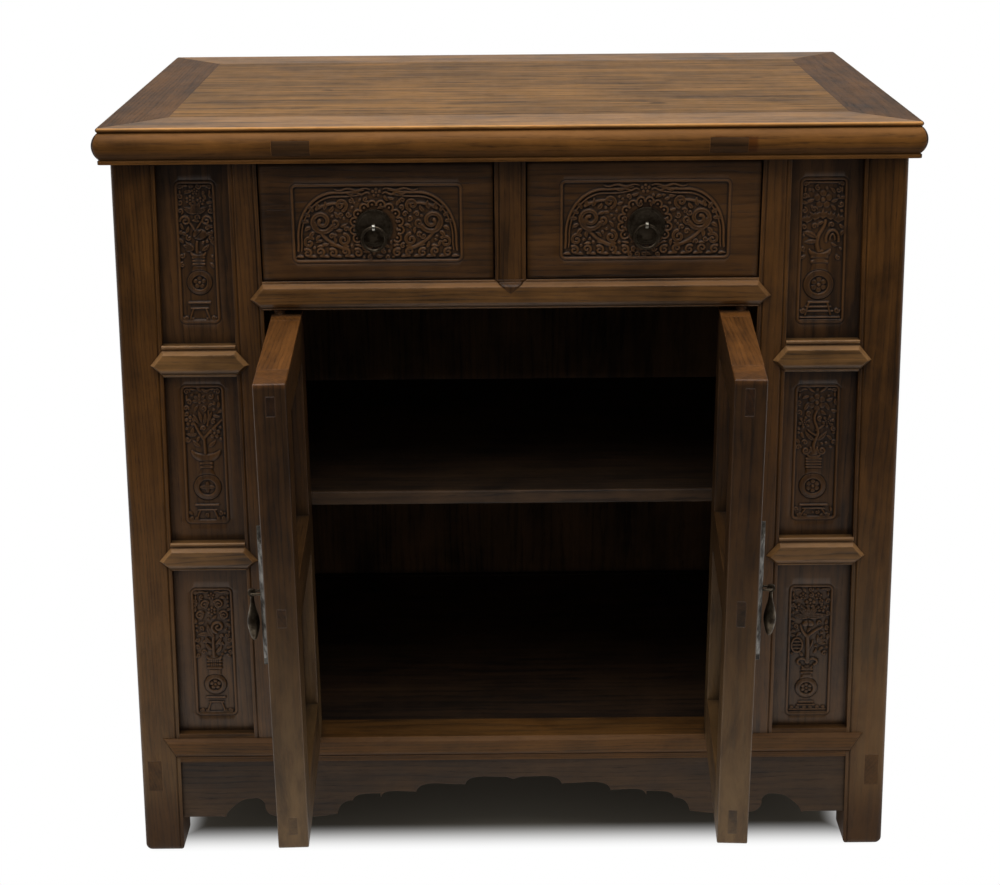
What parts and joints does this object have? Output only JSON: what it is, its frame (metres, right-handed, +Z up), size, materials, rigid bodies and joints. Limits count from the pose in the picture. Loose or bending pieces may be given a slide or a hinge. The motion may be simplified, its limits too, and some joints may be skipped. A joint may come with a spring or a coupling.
{
  "type": "kang cabinet",
  "caption": "Low elm cabinet with two drawers over a pair of wooden-pivot doors between columns of carved panels, on splayed posts with a scalloped apron.",
  "frame": {"origin": "on the floor, under the middle of the box around the cabinet with its doors standing open", "axes": "+X to the cabinet's right side seen from the front, +Y to its back, +Z up"},
  "size_m": [0.892, 0.7626, 0.88],
  "materials": {
    "elm_red": "red-brown lacquer over open-grained elm, worn thin on the edges",
    "elm_gold": "golden worn elm, polished",
    "elm_dark": "dark brown elm, polished",
    "elm_carved": "carved elm with dark hollows and worn ridges",
    "elm_raw": "bare elm, dusty and unpolished",
    "pale_brass": "pale brass, dulled",
    "dark_iron": "dark patinated iron"
  },
  "bodies": {
    "carcass": {"apron_front": "elm_red", "back_panels": "elm_raw", "back_rails": "elm_raw", "bearers": "elm_raw", "bottom_rail_front": "elm_red", "column_panels_left": "elm_carved", "column_panels_right": "elm_carved", "column_rails_left": "elm_red", "column_rails_right": "elm_red", "cupboard_floor": "elm_raw", "drawer_divider": "elm_red", "drawer_rail": "elm_red", "drawer_runners": "elm_raw", "inner_stile_left": "elm_red", "inner_stile_right": "elm_red", "post_back_left": "elm_red", "post_back_right": "elm_red", "post_front_left": "elm_red", "post_front_right": "elm_red", "shelf": "elm_red", "side_panels_left": "elm_red", "side_panels_right": "elm_red", "side_rails_left": "elm_red", "side_rails_right": "elm_red", "top_battens": "elm_red", "top_frame_back": "elm_gold", "top_frame_front": "elm_gold", "top_frame_left": "elm_dark", "top_frame_right": "elm_dark", "top_panel": "elm_gold"},
    "door_left": {"door_left_face_plate": "pale_brass", "door_left_hinge_stile": "elm_red", "door_left_meeting_stile": "elm_red", "door_left_panels": "elm_red", "door_left_rails": "elm_red", "door_left_staple": "dark_iron"},
    "pull_left": {"door_left_pull": "dark_iron"},
    "door_right": {"door_right_face_plate": "pale_brass", "door_right_hinge_stile": "elm_red", "door_right_meeting_stile": "elm_red", "door_right_panels": "elm_red", "door_right_rails": "elm_red", "door_right_staple": "dark_iron"},
    "pull_right": {"door_right_pull": "dark_iron"},
    "drawer_left": {"drawer_left_back": "elm_raw", "drawer_left_backplate": "dark_iron", "drawer_left_bottom": "elm_raw", "drawer_left_front": "elm_red", "drawer_left_sides": "elm_raw", "drawer_left_staple": "dark_iron"},
    "ring_left": {"drawer_left_ring": "dark_iron"},
    "drawer_right": {"drawer_right_back": "elm_raw", "drawer_right_backplate": "dark_iron", "drawer_right_bottom": "elm_raw", "drawer_right_front": "elm_red", "drawer_right_sides": "elm_raw", "drawer_right_staple": "dark_iron"},
    "ring_right": {"drawer_right_ring": "dark_iron"}
  },
  "joints": [
    {"name": "door_left_hinge", "type": "hinge", "parent": "carcass", "child": "door_left", "pos_m": [-0.2515, -0.13121, 0.415], "axis": [0, 0, 1], "range_deg": [-38, 88]},
    {"name": "door_left_pull_swing", "type": "hinge", "parent": "door_left", "child": "pull_left", "pos_m": [-0.26541, -0.36334, 0.447], "axis": [-0.0349, 0.9994, 0], "range_deg": [0, 95]},
    {"name": "drawer_left_slide", "type": "slide", "parent": "carcass", "child": "drawer_left", "axis": [0, -1, 0], "range_m": [0, 0.33]},
    {"name": "drawer_left_ring_swing", "type": "hinge", "parent": "drawer_left", "child": "ring_left", "pos_m": [-0.1455, -0.14421, 0.771], "axis": [-1, 0, 0], "range_deg": [0, 150]},
    {"name": "door_right_hinge", "type": "hinge", "parent": "carcass", "child": "door_right", "pos_m": [0.2515, -0.13121, 0.415], "axis": [0, 0, 1], "range_deg": [-86.6, 39.4]},
    {"name": "door_right_pull_swing", "type": "hinge", "parent": "door_right", "child": "pull_right", "pos_m": [0.25973, -0.36361, 0.447], "axis": [-0.0593, -0.9982, 0], "range_deg": [0, 95]},
    {"name": "drawer_right_slide", "type": "slide", "parent": "carcass", "child": "drawer_right", "axis": [0, -1, 0], "range_m": [0, 0.33]},
    {"name": "drawer_right_ring_swing", "type": "hinge", "parent": "drawer_right", "child": "ring_right", "pos_m": [0.1455, -0.14421, 0.771], "axis": [-1, 0, 0], "range_deg": [0, 150]}
  ]
}
